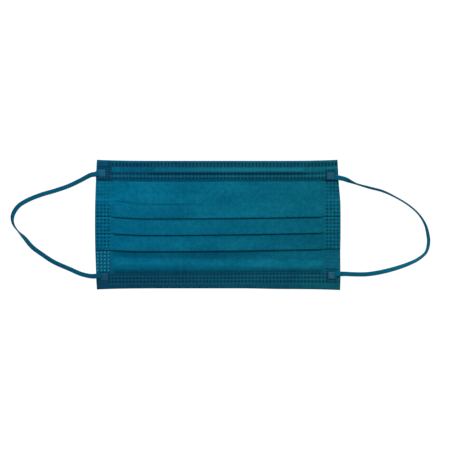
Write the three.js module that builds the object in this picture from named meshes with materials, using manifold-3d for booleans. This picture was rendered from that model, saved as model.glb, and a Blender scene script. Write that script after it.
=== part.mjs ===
// A medical face mask of pleated nonwoven cloth, lying flat on its inner face, with two ear loops of flat elastic.
// Millimetres. X runs along the mask, Y up to the nose edge, Z out of the front face, away from the table.
// The origin is on the table, under the middle of the mask's body.
import * as THREE from "three";
import { mergeVertices } from "three/addons/utils/BufferGeometryUtils.js";
import Module from "manifold-3d";

// The body's outline
const MASK_WIDTH = 175; // along the hems
const MASK_HEIGHT = 94; // nose edge to chin edge at the corners, with the pleats closed
const SIDE_BULGE = 1.4; // how far each side edge swells outwards at half height
const EDGE_DIP = 0.8; // how far the nose and chin edges draw in between the corners
const CORNER_SHARPNESS = 6; // how close to the corners they draw in

// The cloth
const CLOTH = 1.0; // the outer, filter and inner plies together
const PLY_GAP = 0.3; // between layers that lie on each other

// The pleats, which all turn down towards the chin. Each is cloth folded under itself and back down again.
const PLEAT_COUNT = 3;
const FIRST_FOLD = 0.446 * MASK_HEIGHT; // nose edge to the first fold edge
const PLEAT_PITCH = 0.127 * MASK_HEIGHT; // fold edge to fold edge
const PLEAT_DEPTH = 0.94 * PLEAT_PITCH; // fold edge to the hidden fold behind it
const FOLD_SAG = 0.6; // how far the fold edges sag at mid width
const FOLD_TILT = 0.85; // how far their right ends rise
const BILLOW = 1.6; // how far the loose cloth between the last pleat and the chin hem puffs up

// The side welds, where the pleats are pressed flat and fused together
const WELD_BAND = 10.5; // from the side edge inwards
const WELD_TAPER = 6; // from the loose pleats down to the weld
const WELD_SQUEEZE = 0.27; // share of the pleats' height above one layer that is left in the weld

// The hems, folded over onto the front face
const NOSE_HEM = 15.1;
const CHIN_HEM = 12.1;
const HEM_ROUND = 0.9; // radius of the hem's outer edge
const HEM_PUFF = 0.25; // how far the hem rises between its rows of welds
const NOSE_ROWS = [0.19, 0.63, 0.85]; // where the rows lie, as shares of the hem from its edge
const CHIN_ROWS = [0.45, 0.67, 0.89];

// The nose wire in its channel under the nose hem
const WIRE_LENGTH = 108;
const WIRE_WIDTH = 3;
const WIRE_THICK = 0.8;
const WIRE_BEVEL = 0.25;
const WIRE_PLACE = 0.43 * NOSE_HEM; // nose edge to the wire's middle
const WIRE_OFFSET = 7.7; // the mask's middle to the wire's middle
const CHANNEL_SIDE = 0.4; // slack beside the wire
const CHANNEL_SLOPE = 1.5; // how far the hem takes to come down beside the wire
const CHANNEL_RUNOUT = 5; // how far it takes to come down past the wire's ends

// The welds that hold the ear loops: inset from the side edge, drop from the nose or chin edge. slide: how far the
// band lies off the pad's middle, towards the nose edge, as a share of the pad
const PAD_SIZE = 5.2;
const PAD_THICK = 1.0;
const PAD_CORNER = 0.7;
const TOP_LEFT = { side: -1, edge: 1, inset: 3.8, drop: 9.6, slide: -0.19 };
const TOP_RIGHT = { side: 1, edge: 1, inset: 5.6, drop: 11.8, slide: -0.15 };
const BOTTOM_LEFT = { side: -1, edge: -1, inset: 5.8, drop: 9.3, slide: 0.17 };
const BOTTOM_RIGHT = { side: 1, edge: -1, inset: 5.8, drop: 9.5, slide: 0.21 };

// The ear loops
const BAND_WIDTH = 3;
const BAND_THICK = 1.0;
const BAND_BEVEL = 0.3;
const BAND_STEPS = 3; // between two points of a route

// Each loop's route between its nose weld and its chin weld. out: millimetres outwards from the side edge. up: share
// of the mask's half height. lift: from 0, lying on the table, to 1, lying on the hem. turn: degrees about the
// band's own length, 0 where it lies flat and 90 where it stands on its edge.
const LEFT_ROUTE = [
  { out: 4, up: 0.765, lift: 0.95, turn: 0 },
  { out: 12, up: 0.68, lift: 0.3, turn: 3 },
  { out: 20, up: 0.6, lift: 0, turn: 0 },
  { out: 30, up: 0.525, lift: 0, turn: 6 },
  { out: 40, up: 0.463, lift: 0, turn: 12 },
  { out: 50, up: 0.378, lift: 0, turn: 14 },
  { out: 56.6, up: 0.29, lift: 0, turn: 8 },
  { out: 60, up: 0.193, lift: 0, turn: 30 },
  { out: 61.2, up: 0.1, lift: 0, turn: 58 },
  { out: 60.3, up: 0, lift: 0, turn: 80 },
  { out: 57, up: -0.1, lift: 0, turn: 96 },
  { out: 52.3, up: -0.207, lift: 0, turn: 140 },
  { out: 47, up: -0.342, lift: 0, turn: 165 },
  { out: 40, up: -0.454, lift: 0, turn: 172 },
  { out: 31.2, up: -0.576, lift: 0, turn: 180 },
  { out: 20, up: -0.682, lift: 0, turn: 180 },
  { out: 11, up: -0.763, lift: 0.35, turn: 180 },
  { out: 4, up: -0.793, lift: 0.95, turn: 180 },
];
const RIGHT_ROUTE = [
  { out: 4, up: 0.701, lift: 0.95, turn: 12 },
  { out: 12, up: 0.632, lift: 0.3, turn: 76 },
  { out: 22, up: 0.57, lift: 0, turn: 76 },
  { out: 32, up: 0.513, lift: 0, turn: 78 },
  { out: 42, up: 0.412, lift: 0, turn: 84 },
  { out: 51, up: 0.293, lift: 0, turn: 90 },
  { out: 58, up: 0.157, lift: 0, turn: 88 },
  { out: 62.6, up: 0, lift: 0, turn: 76 },
  { out: 64.4, up: -0.14, lift: 0, turn: 66 },
  { out: 65, up: -0.27, lift: 0, turn: 64 },
  { out: 63.3, up: -0.418, lift: 0, turn: 74 },
  { out: 58.3, up: -0.52, lift: 0, turn: 72 },
  { out: 51.2, up: -0.598, lift: 0, turn: 56 },
  { out: 41, up: -0.675, lift: 0, turn: 34 },
  { out: 30, up: -0.734, lift: 0, turn: 14 },
  { out: 20, up: -0.765, lift: 0, turn: 0 },
  { out: 11, up: -0.765, lift: 0.35, turn: 0 },
  { out: 4, up: -0.758, lift: 0.95, turn: 0 },
];

// How finely curves are cut
const STEP_LENGTH = 9;
const ARC_STEPS = 6; // in a half turn of cloth
const RISE_STEPS = 6; // in a slope of cloth

const HALF_WIDTH = MASK_WIDTH / 2;
const HALF_HEIGHT = MASK_HEIGHT / 2;
const LAYER = CLOTH + PLY_GAP;
const TURN_RADIUS = LAYER / 2 + CLOTH / 2; // the outside of a fold
const INNER_EDGE = HALF_HEIGHT - LAYER; // where the pleated cloth ends inside the hems' folds
const HEM_TOP = LAYER + CLOTH;
const HEM_CLEAR = 1; // flat cloth past a hem's raw edge
const LOOSE_HALF = HALF_WIDTH - WELD_BAND - WELD_TAPER;
const NOSE_FLAT = HALF_HEIGHT - NOSE_HEM - HEM_CLEAR; // the cloth is flat above this
const CHIN_FLAT = -HALF_HEIGHT + CHIN_HEM + HEM_CLEAR; // and below this
const WIRE_Y = HALF_HEIGHT - WIRE_PLACE;

const { lerp, smoothstep, degToRad } = THREE.MathUtils;
const foldEdge = (pleat) => HALF_HEIGHT - FIRST_FOLD - pleat * PLEAT_PITCH;
const backFold = (pleat) => foldEdge(pleat) + PLEAT_DEPTH;

const wasm = await Module();
wasm.setup();

function toSolid(geometry) {
  const bare = geometry.clone().deleteAttribute("normal").deleteAttribute("uv");
  const merged = mergeVertices(bare, 1e-4);
  return new wasm.Manifold(
    new wasm.Mesh({
      numProp: 3,
      vertProperties: merged.attributes.position.array,
      triVerts: new Uint32Array(merged.index.array),
    }),
  );
}

function toGeometry(solid) {
  const made = solid.getMesh();
  const geometry = new THREE.BufferGeometry();
  geometry.setAttribute("position", new THREE.BufferAttribute(made.vertProperties, made.numProp));
  geometry.setIndex(new THREE.BufferAttribute(made.triVerts, 1));
  const faceted = geometry.toNonIndexed();
  faceted.computeVertexNormals();
  return faceted;
}

// Moves each point of a geometry to where place(point) puts it.
function reshape(geometry, place) {
  const position = geometry.attributes.position;
  const point = new THREE.Vector3();
  for (let i = 0; i < position.count; i += 1) {
    point.fromBufferAttribute(position, i);
    place(point);
    position.setXYZ(i, point.x, point.y, point.z);
  }
  geometry.computeVertexNormals();
  return geometry;
}

// Gives the flat mask its slightly swollen sides, drawn-in edges and sagging folds.
function settle(point) {
  const across = point.x / HALF_WIDTH;
  const height = point.y / HALF_HEIGHT;
  const inside = 1 - height * height;
  const side = Math.max(0, Math.abs(point.x) - LOOSE_HALF) / (HALF_WIDTH - LOOSE_HALF);
  point.x += Math.sign(point.x) * SIDE_BULGE * side * inside;
  point.y -= EDGE_DIP * height * (1 - Math.pow(Math.abs(across), CORNER_SHARPNESS));
  point.y += (FOLD_TILT * across - FOLD_SAG * (1 - across * across)) * inside * (1 - height);
}

// A section drawn in Y and Z, run along X from one place to another.
function runAlong(section, from, to) {
  const length = to - from;
  const geometry = new THREE.ExtrudeGeometry(new THREE.Shape(section), {
    depth: length,
    steps: Math.ceil(length / STEP_LENGTH),
    bevelEnabled: false,
  });
  const turned = new THREE.Matrix4().makeBasis(
    new THREE.Vector3(0, 1, 0),
    new THREE.Vector3(0, 0, 1),
    new THREE.Vector3(1, 0, 0),
  );
  geometry.applyMatrix4(turned);
  geometry.translate(from, 0, 0);
  return geometry;
}

function bevelledBox(width, height, bevel) {
  const w = width / 2;
  const h = height / 2;
  return [
    new THREE.Vector2(w, -h + bevel),
    new THREE.Vector2(w, h - bevel),
    new THREE.Vector2(w - bevel, h),
    new THREE.Vector2(-w + bevel, h),
    new THREE.Vector2(-w, h - bevel),
    new THREE.Vector2(-w, -h + bevel),
    new THREE.Vector2(-w + bevel, -h),
    new THREE.Vector2(w - bevel, -h),
  ];
}

// The height of the cloth's middle in one of the visible panels, 0 the one under the nose hem. A panel starts on the
// table at the hidden fold behind it and climbs over the pleat in front of it.
function panelHeight(panel, y) {
  if (panel === PLEAT_COUNT) {
    const share = (foldEdge(PLEAT_COUNT - 1) - y) / (foldEdge(PLEAT_COUNT - 1) - CHIN_FLAT);
    const bump = share > 0 && share < 1 ? Math.sin(share * Math.PI) ** 2 : 0;
    return CLOTH / 2 + BILLOW * bump;
  }
  const start = panel === 0 ? NOSE_FLAT : backFold(panel - 1);
  const under = backFold(panel);
  if (y <= under) return panelHeight(panel + 1, y) + 2 * LAYER;
  const share = Math.min(1, (start - y) / (start - under));
  const climb = panel === 0 ? smoothstep(share, 0, 1) : Math.max(0, share);
  return CLOTH / 2 + 2 * LAYER * climb;
}

// Points along a stretch of one panel, so many millimetres above its middle.
function stretch(panel, from, to, above) {
  const corners = [from, to];
  for (let pleat = 0; pleat < PLEAT_COUNT; pleat += 1) corners.push(foldEdge(pleat), backFold(pleat));
  for (let i = 0; i <= RISE_STEPS; i += 1) {
    corners.push(lerp(NOSE_FLAT, backFold(0), i / RISE_STEPS));
    corners.push(lerp(foldEdge(PLEAT_COUNT - 1), CHIN_FLAT, i / RISE_STEPS));
  }
  const low = Math.min(from, to);
  const high = Math.max(from, to);
  const within = [...new Set(corners)].filter((y) => y >= low && y <= high);
  within.sort((a, b) => (from > to ? b - a : a - b));
  return within.map((y) => new THREE.Vector2(y, panelHeight(panel, y) + above));
}

// A turn of the cloth from one layer down to the next. way: -1 at a fold edge, 1 at a hidden fold.
function turnDown(panel, tip, way, above, radius, steps) {
  const points = [];
  for (let i = 1; i <= steps; i += 1) {
    const angle = (Math.PI * i) / ARC_STEPS;
    const y = tip + way * (radius * Math.sin(angle) - TURN_RADIUS);
    points.push(new THREE.Vector2(y, panelHeight(panel, y) + above + radius * Math.cos(angle)));
  }
  return points;
}

// One face of the folded cloth, from the nose edge to the chin edge. off: from the middle of its thickness, positive
// on the front face.
function clothFace(off) {
  const face = [];
  let from = INNER_EDGE;
  for (let pleat = 0; pleat < PLEAT_COUNT; pleat += 1) {
    const edge = foldEdge(pleat);
    const back = backFold(pleat);
    face.push(...stretch(pleat, from, edge + TURN_RADIUS, off));
    face.push(...turnDown(pleat + 1, edge, -1, LAYER * 1.5, LAYER / 2 + off, ARC_STEPS - 1));
    face.push(...stretch(pleat + 1, edge + TURN_RADIUS, back - TURN_RADIUS, LAYER - off));
    face.push(...turnDown(pleat + 1, back, 1, LAYER / 2, LAYER / 2 - off, ARC_STEPS - 1));
    from = back - TURN_RADIUS;
  }
  return [...face, ...stretch(PLEAT_COUNT, from, -INNER_EDGE, off)];
}

// The outline of the whole stack, filled down to the table.
function stackOutline() {
  const outline = [new THREE.Vector2(INNER_EDGE, 0)];
  let from = INNER_EDGE;
  for (let pleat = 0; pleat < PLEAT_COUNT; pleat += 1) {
    const edge = foldEdge(pleat);
    outline.push(...stretch(pleat, from, edge + TURN_RADIUS, CLOTH / 2));
    outline.push(...turnDown(pleat + 1, edge, -1, LAYER * 1.5, TURN_RADIUS, ARC_STEPS / 2));
    from = edge;
  }
  outline.push(...stretch(PLEAT_COUNT, from, -INNER_EDGE, CLOTH / 2));
  return [...outline, new THREE.Vector2(-INNER_EDGE, 0)];
}

function fusedEnd(side) {
  const geometry = runAlong(stackOutline(), LOOSE_HALF, HALF_WIDTH);
  reshape(geometry, (point) => {
    const pressed = smoothstep(point.x, LOOSE_HALF, LOOSE_HALF + WELD_TAPER);
    if (point.z > CLOTH) point.z = CLOTH + (point.z - CLOTH) * lerp(1, WELD_SQUEEZE, pressed);
    point.x *= side;
    settle(point);
  });
  if (side < 0) turnInsideOut(geometry);
  return toSolid(geometry);
}

// Swaps two corners of each triangle, after a mirroring.
function turnInsideOut(geometry) {
  const position = geometry.attributes.position;
  const first = new THREE.Vector3();
  const second = new THREE.Vector3();
  for (let i = 0; i < position.count; i += 3) {
    first.fromBufferAttribute(position, i);
    second.fromBufferAttribute(position, i + 1);
    position.setXYZ(i, second.x, second.y, second.z);
    position.setXYZ(i + 1, first.x, first.y, first.z);
  }
}

function pleatedPanel() {
  const section = [...clothFace(CLOTH / 2), ...clothFace(-CLOTH / 2).reverse()];
  const loose = reshape(runAlong(section, -LOOSE_HALF, LOOSE_HALF), settle);
  return toGeometry(toSolid(loose).add(fusedEnd(-1)).add(fusedEnd(1)));
}

// How far the nose hem is lifted over the wire.
function channelLift(x, y) {
  const beside = Math.abs(y - WIRE_Y) - WIRE_WIDTH / 2 - CHANNEL_SIDE;
  const beyond = Math.abs(x - WIRE_OFFSET) - WIRE_LENGTH / 2 - CHANNEL_SIDE;
  const down = Math.max(smoothstep(beside, 0, CHANNEL_SLOPE), smoothstep(beyond, 0, CHANNEL_RUNOUT));
  return (WIRE_THICK + PLY_GAP) * (1 - down);
}

// How far a hem puffs up between two rows of welds. drop: from the hem's edge.
function puff(drop, hem, rows) {
  for (let i = 1; i < rows.length; i += 1) {
    const share = (drop / hem - rows[i - 1]) / (rows[i] - rows[i - 1]);
    if (share > 0 && share < 1) return HEM_PUFF * Math.sin(share * Math.PI);
  }
  return 0;
}

// Cloth folded round the edge: a wall at the edge and a flap over the front. edge: 1 nose, -1 chin.
function hem(edge, depth, rows) {
  const drops = [HEM_ROUND, depth];
  for (let i = 0; i < rows.length; i += 1) drops.push(rows[i] * depth);
  for (let i = 1; i < rows.length; i += 1) drops.push(lerp(rows[i - 1], rows[i], 0.5) * depth);
  const wireHalf = WIRE_WIDTH / 2 + CHANNEL_SIDE;
  if (edge > 0)
    for (const off of [wireHalf, wireHalf + CHANNEL_SLOPE / 2, wireHalf + CHANNEL_SLOPE])
      drops.push(WIRE_PLACE - off, WIRE_PLACE + off);
  drops.sort((a, b) => a - b);

  const outer = [new THREE.Vector2(0, 0)];
  const corner = ARC_STEPS / 2;
  for (let i = 0; i < corner; i += 1) {
    const angle = (Math.PI / 2) * (i / corner);
    outer.push(
      new THREE.Vector2(HEM_ROUND * (1 - Math.cos(angle)), HEM_TOP - HEM_ROUND * (1 - Math.sin(angle))),
    );
  }
  outer.push(...drops.map((drop) => new THREE.Vector2(drop, HEM_TOP)));
  const inner = drops.filter((drop) => drop > CLOTH).map((drop) => new THREE.Vector2(drop, LAYER));
  const section = [...outer, ...inner.reverse(), new THREE.Vector2(CLOTH, LAYER), new THREE.Vector2(CLOTH, 0)];

  const placed = section.map((point) => new THREE.Vector2(edge * (HALF_HEIGHT - point.x), point.y));
  return reshape(runAlong(placed, -HALF_WIDTH, HALF_WIDTH), (point) => {
    if (point.z > CLOTH) {
      const drop = HALF_HEIGHT - Math.abs(point.y);
      const open = 1 - smoothstep(Math.abs(point.x), LOOSE_HALF, LOOSE_HALF + WELD_TAPER);
      const wire = edge > 0 ? channelLift(point.x, point.y) : 0;
      point.z += Math.max(wire, open * puff(drop, depth, rows));
    }
    settle(point);
  });
}

function noseWire() {
  const section = bevelledBox(WIRE_WIDTH, WIRE_THICK, WIRE_BEVEL);
  const middle = new THREE.Vector2(WIRE_Y, LAYER + WIRE_THICK / 2);
  const placed = section.map((point) => point.add(middle));
  const end = WIRE_LENGTH / 2;
  return reshape(runAlong(placed, WIRE_OFFSET - end, WIRE_OFFSET + end), settle);
}

function weldCentre(weld) {
  const centre = new THREE.Vector3(weld.side * (HALF_WIDTH - weld.inset), weld.edge * (HALF_HEIGHT - weld.drop), 0);
  settle(centre);
  centre.z = HEM_TOP + PLY_GAP;
  return centre;
}

// The end of a band, melted flat onto the hem.
function weldPad(weld) {
  const outline = bevelledBox(PAD_SIZE, PAD_SIZE, PAD_CORNER);
  const geometry = new THREE.ExtrudeGeometry(new THREE.Shape(outline), { depth: PAD_THICK, bevelEnabled: false });
  const centre = weldCentre(weld);
  return geometry.translate(centre.x, centre.y, centre.z);
}

// Where a band leaves its weld, just past the pad's outer side, and runs straight out at first.
function leave(weld, turn) {
  const centre = weldCentre(weld);
  const out = centre.x * weld.side - HALF_WIDTH + PAD_SIZE / 2 + PLY_GAP;
  const up = (centre.y + weld.slide * PAD_SIZE) / HALF_HEIGHT;
  const end = { out, up, lift: 1, turn };
  return [end, { ...end, out: out + BAND_WIDTH / 2 }];
}

function earLoop(side, top, bottom, route) {
  const last = leave(bottom, route[route.length - 1].turn).reverse();
  const stops = [...leave(top, route[0].turn), ...route, ...last];
  const path = new THREE.CatmullRomCurve3(
    stops.map((stop) => {
      const x = side * (HALF_WIDTH + stop.out);
      return new THREE.Vector3(x, stop.up * HALF_HEIGHT, stop.lift * (HEM_TOP + PLY_GAP));
    }),
  );
  const turns = new THREE.CatmullRomCurve3(
    stops.map((stop) => new THREE.Vector3(degToRad(stop.turn), 0, 0)),
    false,
    "catmullrom",
  );
  const geometry = new THREE.ExtrudeGeometry(new THREE.Shape(bevelledBox(BAND_WIDTH, BAND_THICK, BAND_BEVEL)), {
    depth: 1,
    steps: (stops.length - 1) * BAND_STEPS,
    bevelEnabled: false,
  });
  return reshape(geometry, (point) => {
    const share = Math.min(1, Math.max(0, point.z));
    const along = path.getTangent(share);
    const flat = new THREE.Vector3(0, 0, 1).cross(along).normalize();
    const up = along.clone().cross(flat);
    const turn = turns.getPoint(share).x;
    const reach = (BAND_WIDTH * Math.abs(Math.sin(turn)) + BAND_THICK * Math.abs(Math.cos(turn))) / 2;
    const middle = path.getPoint(share);
    middle.z = Math.max(0, middle.z) + reach;
    const wide = point.x * Math.cos(turn) - point.y * Math.sin(turn);
    const high = point.x * Math.sin(turn) + point.y * Math.cos(turn);
    point.copy(middle).addScaledVector(flat, wide).addScaledVector(up, high);
    point.z = Math.max(0, point.z);
  });
}

const group = new THREE.Group();

function add(name, geometry, color, roughness) {
  const material = new THREE.MeshStandardMaterial({ color, roughness, metalness: 0 });
  const mesh = new THREE.Mesh(geometry, material);
  mesh.name = name;
  group.add(mesh);
}

const OUTER_TEAL = 0x0f6f86;
const HEM_TEAL = 0x0c6078;
const WIRE_WHITE = 0xe8e8e4;
const PAD_BLUE = 0x4a8ba3;
const BAND_BLUE = 0x2a7f98;

add("pleated_panel", pleatedPanel(), OUTER_TEAL, 0.9);
add("top_hem", hem(1, NOSE_HEM, NOSE_ROWS), HEM_TEAL, 0.9);
add("bottom_hem", hem(-1, CHIN_HEM, CHIN_ROWS), HEM_TEAL, 0.9);
add("nose_wire", noseWire(), WIRE_WHITE, 0.5);
add("weld_pad_top_left", weldPad(TOP_LEFT), PAD_BLUE, 0.5);
add("weld_pad_top_right", weldPad(TOP_RIGHT), PAD_BLUE, 0.5);
add("weld_pad_bottom_left", weldPad(BOTTOM_LEFT), PAD_BLUE, 0.5);
add("weld_pad_bottom_right", weldPad(BOTTOM_RIGHT), PAD_BLUE, 0.5);
add("ear_loop_left", earLoop(-1, TOP_LEFT, BOTTOM_LEFT, LEFT_ROUTE), BAND_BLUE, 0.8);
add("ear_loop_right", earLoop(1, TOP_RIGHT, BOTTOM_RIGHT, RIGHT_ROUTE), BAND_BLUE, 0.8);

export default group;
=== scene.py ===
# %% [markdown]
# # A pleated medical face mask
#
# The mask lies flat on its inner face and is seen from straight above. It is made of cloth that is
# folded, welded and never sewn: a pleated panel, a hem folded over along the nose and the chin, a wire
# under the nose hem, and two elastic bands whose ends are melted onto the hems.
#
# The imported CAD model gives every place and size. Here each piece gets its real surface: thin cloth where
# the CAD has solid walls, each weld pressed into it, and a finish that starts from what the material is.

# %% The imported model
import math

import bmesh
import bpy
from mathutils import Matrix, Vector, noise


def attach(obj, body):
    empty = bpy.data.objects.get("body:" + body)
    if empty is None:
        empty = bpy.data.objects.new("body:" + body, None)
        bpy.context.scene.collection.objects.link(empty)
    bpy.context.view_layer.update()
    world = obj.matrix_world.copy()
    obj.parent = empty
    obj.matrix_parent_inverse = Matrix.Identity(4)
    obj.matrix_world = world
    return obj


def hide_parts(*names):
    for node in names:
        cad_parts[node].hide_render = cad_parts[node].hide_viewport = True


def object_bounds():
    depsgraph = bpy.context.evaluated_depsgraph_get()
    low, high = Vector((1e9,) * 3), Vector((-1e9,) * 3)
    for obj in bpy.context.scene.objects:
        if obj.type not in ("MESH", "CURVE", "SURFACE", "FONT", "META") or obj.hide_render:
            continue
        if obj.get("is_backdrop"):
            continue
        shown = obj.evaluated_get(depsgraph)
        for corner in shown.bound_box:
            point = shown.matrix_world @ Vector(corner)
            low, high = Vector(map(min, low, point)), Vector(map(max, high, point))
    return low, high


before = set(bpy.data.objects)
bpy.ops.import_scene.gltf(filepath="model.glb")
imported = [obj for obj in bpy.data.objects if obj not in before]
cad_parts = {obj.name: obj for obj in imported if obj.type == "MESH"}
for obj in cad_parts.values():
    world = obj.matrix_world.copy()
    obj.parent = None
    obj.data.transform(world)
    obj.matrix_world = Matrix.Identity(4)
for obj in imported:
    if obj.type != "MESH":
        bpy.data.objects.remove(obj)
cad_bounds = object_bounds()
MM = 0.001
print("nodes:", ", ".join(sorted(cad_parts)))

# %% [markdown]
# ## The camera
#
# The photograph looks straight down. A long lens far away keeps the sides of the mask from leaning, and
# the nose edge, which is 175 mm on an adult mask, says how much one pixel of the photograph covers.

# %% The camera
PHOTO_WIDTH = 450
NOSE_EDGE = 175 * MM
NOSE_EDGE_PX = 241.6
MASK_MIDDLE_PX = Vector((217.8, 224.6))
CAMERA_HEIGHT = 1.5

pixel = NOSE_EDGE / NOSE_EDGE_PX
camera = bpy.data.objects.new("camera", bpy.data.cameras.new("camera"))
bpy.context.collection.objects.link(camera)
camera.location = (
    (PHOTO_WIDTH / 2 - MASK_MIDDLE_PX.x) * pixel,
    (MASK_MIDDLE_PX.y - PHOTO_WIDTH / 2) * pixel,
    CAMERA_HEIGHT,
)
camera.data.lens = camera.data.sensor_width * CAMERA_HEIGHT / (PHOTO_WIDTH * pixel)
bpy.context.scene.camera = camera
print(f"one pixel covers {pixel / MM:.3f} mm, lens {camera.data.lens:.0f} mm")

# %% [markdown]
# ## The mask's shape in three rules
#
# Every piece of cloth is drawn first on a flat, square mask, and then settled: the sides swell a little
# at half height, the long edges draw in between the corners, and the folds sag to one side. One rule for
# all of them keeps the pieces on each other. These sizes are the CAD model's, in metres.

# %% Sizes shared by all the cloth
MASK_WIDTH = 175 * MM
MASK_HEIGHT = 94 * MM
SIDE_BULGE = 1.4 * MM  # how far each side swells outwards at half height
EDGE_DIP = 0.8 * MM  # how far the long edges draw in between the corners
CORNER_SHARPNESS = 6  # how close to the corners they draw in
FOLD_SAG = 0.6 * MM  # how far the folds sag at mid width
FOLD_TILT = 0.85 * MM  # how far their right ends rise
WELD_BAND = 10.5 * MM  # the width of the side welds
WELD_TAPER = 6 * MM  # the sides' swell starts this far inside the side welds

# At the right the lower corner is drawn out, the upper one drawn in, and the chin edge hangs down. Each
# has its size, and the shares of half the height or width between which it grows.
CORNER_PULL = 1 * MM
PULL_BELOW = (0.35, 1)
CORNER_TUCK = 0.9 * MM
TUCK_ABOVE = (0.3, 0.75)
CHIN_DROOP = 0.45 * MM
DROOP_ACROSS = (0.2, 0.55)
DROOP_BELOW = (0.78, 1)

HALF_WIDTH = MASK_WIDTH / 2
HALF_HEIGHT = MASK_HEIGHT / 2
LOOSE_HALF = HALF_WIDTH - WELD_BAND - WELD_TAPER


def lerp(start, end, share):
    return start + (end - start) * share


def ease(value, start, end):
    """0 before start, 1 after end, and smooth between."""
    share = min(1, max(0, (value - start) / (end - start)))
    return share * share * (3 - 2 * share)


def settle(x, y):
    """Where a place on the flat, square mask lies on the real one."""
    across = x / HALF_WIDTH
    height = y / HALF_HEIGHT
    inside = 1 - height * height
    side = max(0, abs(x) - LOOSE_HALF) / (HALF_WIDTH - LOOSE_HALF)
    swell = math.copysign(SIDE_BULGE * side * inside, x)
    if x > 0:
        swell += side * (CORNER_PULL * ease(-height, *PULL_BELOW) - CORNER_TUCK * ease(height, *TUCK_ABOVE))
    dip = EDGE_DIP * height * (1 - abs(across) ** CORNER_SHARPNESS)
    lean = (FOLD_TILT * across - FOLD_SAG * (1 - across * across)) * inside * (1 - height)
    droop = CHIN_DROOP * ease(across, *DROOP_ACROSS) * ease(-height, *DROOP_BELOW)
    return x + swell, y - dip + lean - droop


print("corner at", [round(value / MM, 1) for value in settle(HALF_WIDTH, HALF_HEIGHT)], "mm")

# %% [markdown]
# ## The ear loops
#
# Each loop is a flat knitted elastic band, about 3 mm wide. Its ends are welded to the hems, so it leaves
# the mask flat, drops to the table and turns onto its edge where it bends. A band is a flat section swept
# along a route: a grid bent round into a tube, which keeps a clean UV map, along the band one way and
# around it the other.

# %% The bands' routes
BAND_WIDTH = 3 * MM
BAND_THICK = 1 * MM
EDGE_LOOPS = 0.1 * MM  # the loose loops of yarn that stand out at each edge
BAND_HALF = BAND_WIDTH / 2 + EDGE_LOOPS
PAD_SIZE = 5.2 * MM  # a band's melted end
PLY_GAP = 0.3 * MM  # between layers that lie on each other
ON_HEM = 2.6 * MM  # the height of a band's underside on the hem
ROUTE_STEPS = 16  # between two stops of a route

# Side and edge of the mask, inset from that side, drop from that edge, and how far the band lies off the
# weld's middle towards the nose edge, as a share of the pad.
WELDS = {
    "top_left": (-1, 1, 3.8 * MM, 9.6 * MM, -0.02),
    "top_right": (1, 1, 5.6 * MM, 11.8 * MM, -0.15),
    "bottom_left": (-1, -1, 5.8 * MM, 9.3 * MM, 0.17),
    "bottom_right": (1, -1, 5.8 * MM, 9.5 * MM, 0.21),
}

# How steeply each band leaves its weld towards the chin.
LEAN = {"top_left": 0.42, "top_right": 0.15, "bottom_left": 0, "bottom_right": 0}

# Millimetres out from the side edge, share of the half height, share of the way from the table up onto
# the hem, and the band's turn about its own length in degrees.
LEFT_ROUTE = [
    (4, 0.765, 0.95, 0),
    (12, 0.68, 0.3, 8),
    (20, 0.6, 0, 12),
    (30, 0.525, 0, 14),
    (40, 0.463, 0, 14),
    (50, 0.378, 0, 14),
    (56.6, 0.29, 0, 12),
    (60, 0.193, 0, 12),
    (61.2, 0.1, 0, 40),
    (60.3, 0, 0, 68),
    (57, -0.1, 0, 88),
    (52.3, -0.207, 0, 136),
    (47, -0.342, 0, 172),
    (40, -0.454, 0, 180),
    (31.2, -0.576, 0, 180),
    (20, -0.682, 0, 180),
    (11, -0.763, 0.35, 180),
    (4, -0.793, 0.95, 180),
]
RIGHT_ROUTE = [
    (4, 0.701, 0.95, 12),
    (12, 0.632, 0.3, 78),
    (22, 0.57, 0, 70),
    (32, 0.513, 0, 73),
    (42, 0.412, 0, 84),
    (51, 0.293, 0, 85),
    (58, 0.157, 0, 83),
    (62.6, 0, 0, 71),
    (64.4, -0.14, 0, 57),
    (65, -0.27, 0, 55),
    (63.3, -0.418, 0, 64),
    (58.3, -0.52, 0, 58),
    (51.2, -0.598, 0, 46),
    (41, -0.675, 0, 30),
    (30, -0.734, 0, 12),
    (20, -0.765, 0, 0),
    (11, -0.765, 0.35, 0),
    (4, -0.758, 0.95, 0),
]
print(len(LEFT_ROUTE) + len(RIGHT_ROUTE), "stops on the two routes")

# %% [markdown]
# A Catmull-Rom line passes through every stop. The centripetal kind makes no loop where two stops lie
# close together. A band that stands on its edge needs its middle higher than one that lies flat, so the
# height follows from the turn.

# %% A line through the stops
def weld_centre(name):
    side, edge, inset, drop, _ = WELDS[name]
    return settle(side * (HALF_WIDTH - inset), edge * (HALF_HEIGHT - drop))


def leave(name, turn):
    """Where a band leaves its weld, and the point straight out from it."""
    side, slide = WELDS[name][0], WELDS[name][4]
    x, y = weld_centre(name)
    y += slide * PAD_SIZE
    start = x + side * (PAD_SIZE / 2 + PLY_GAP)
    lower = y - LEAN[name] * BAND_WIDTH / 2
    return [(start, y, ON_HEM, turn), (start + side * BAND_WIDTH / 2, lower, ON_HEM, turn)]


def route_stops(side, top, bottom, route):
    stops = leave(top, route[0][3])
    for out, up, lift, turn in route:
        stops.append((side * (HALF_WIDTH + out * MM), up * HALF_HEIGHT, lift * ON_HEM, turn))
    return stops + leave(bottom, route[-1][3])[::-1]


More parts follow.
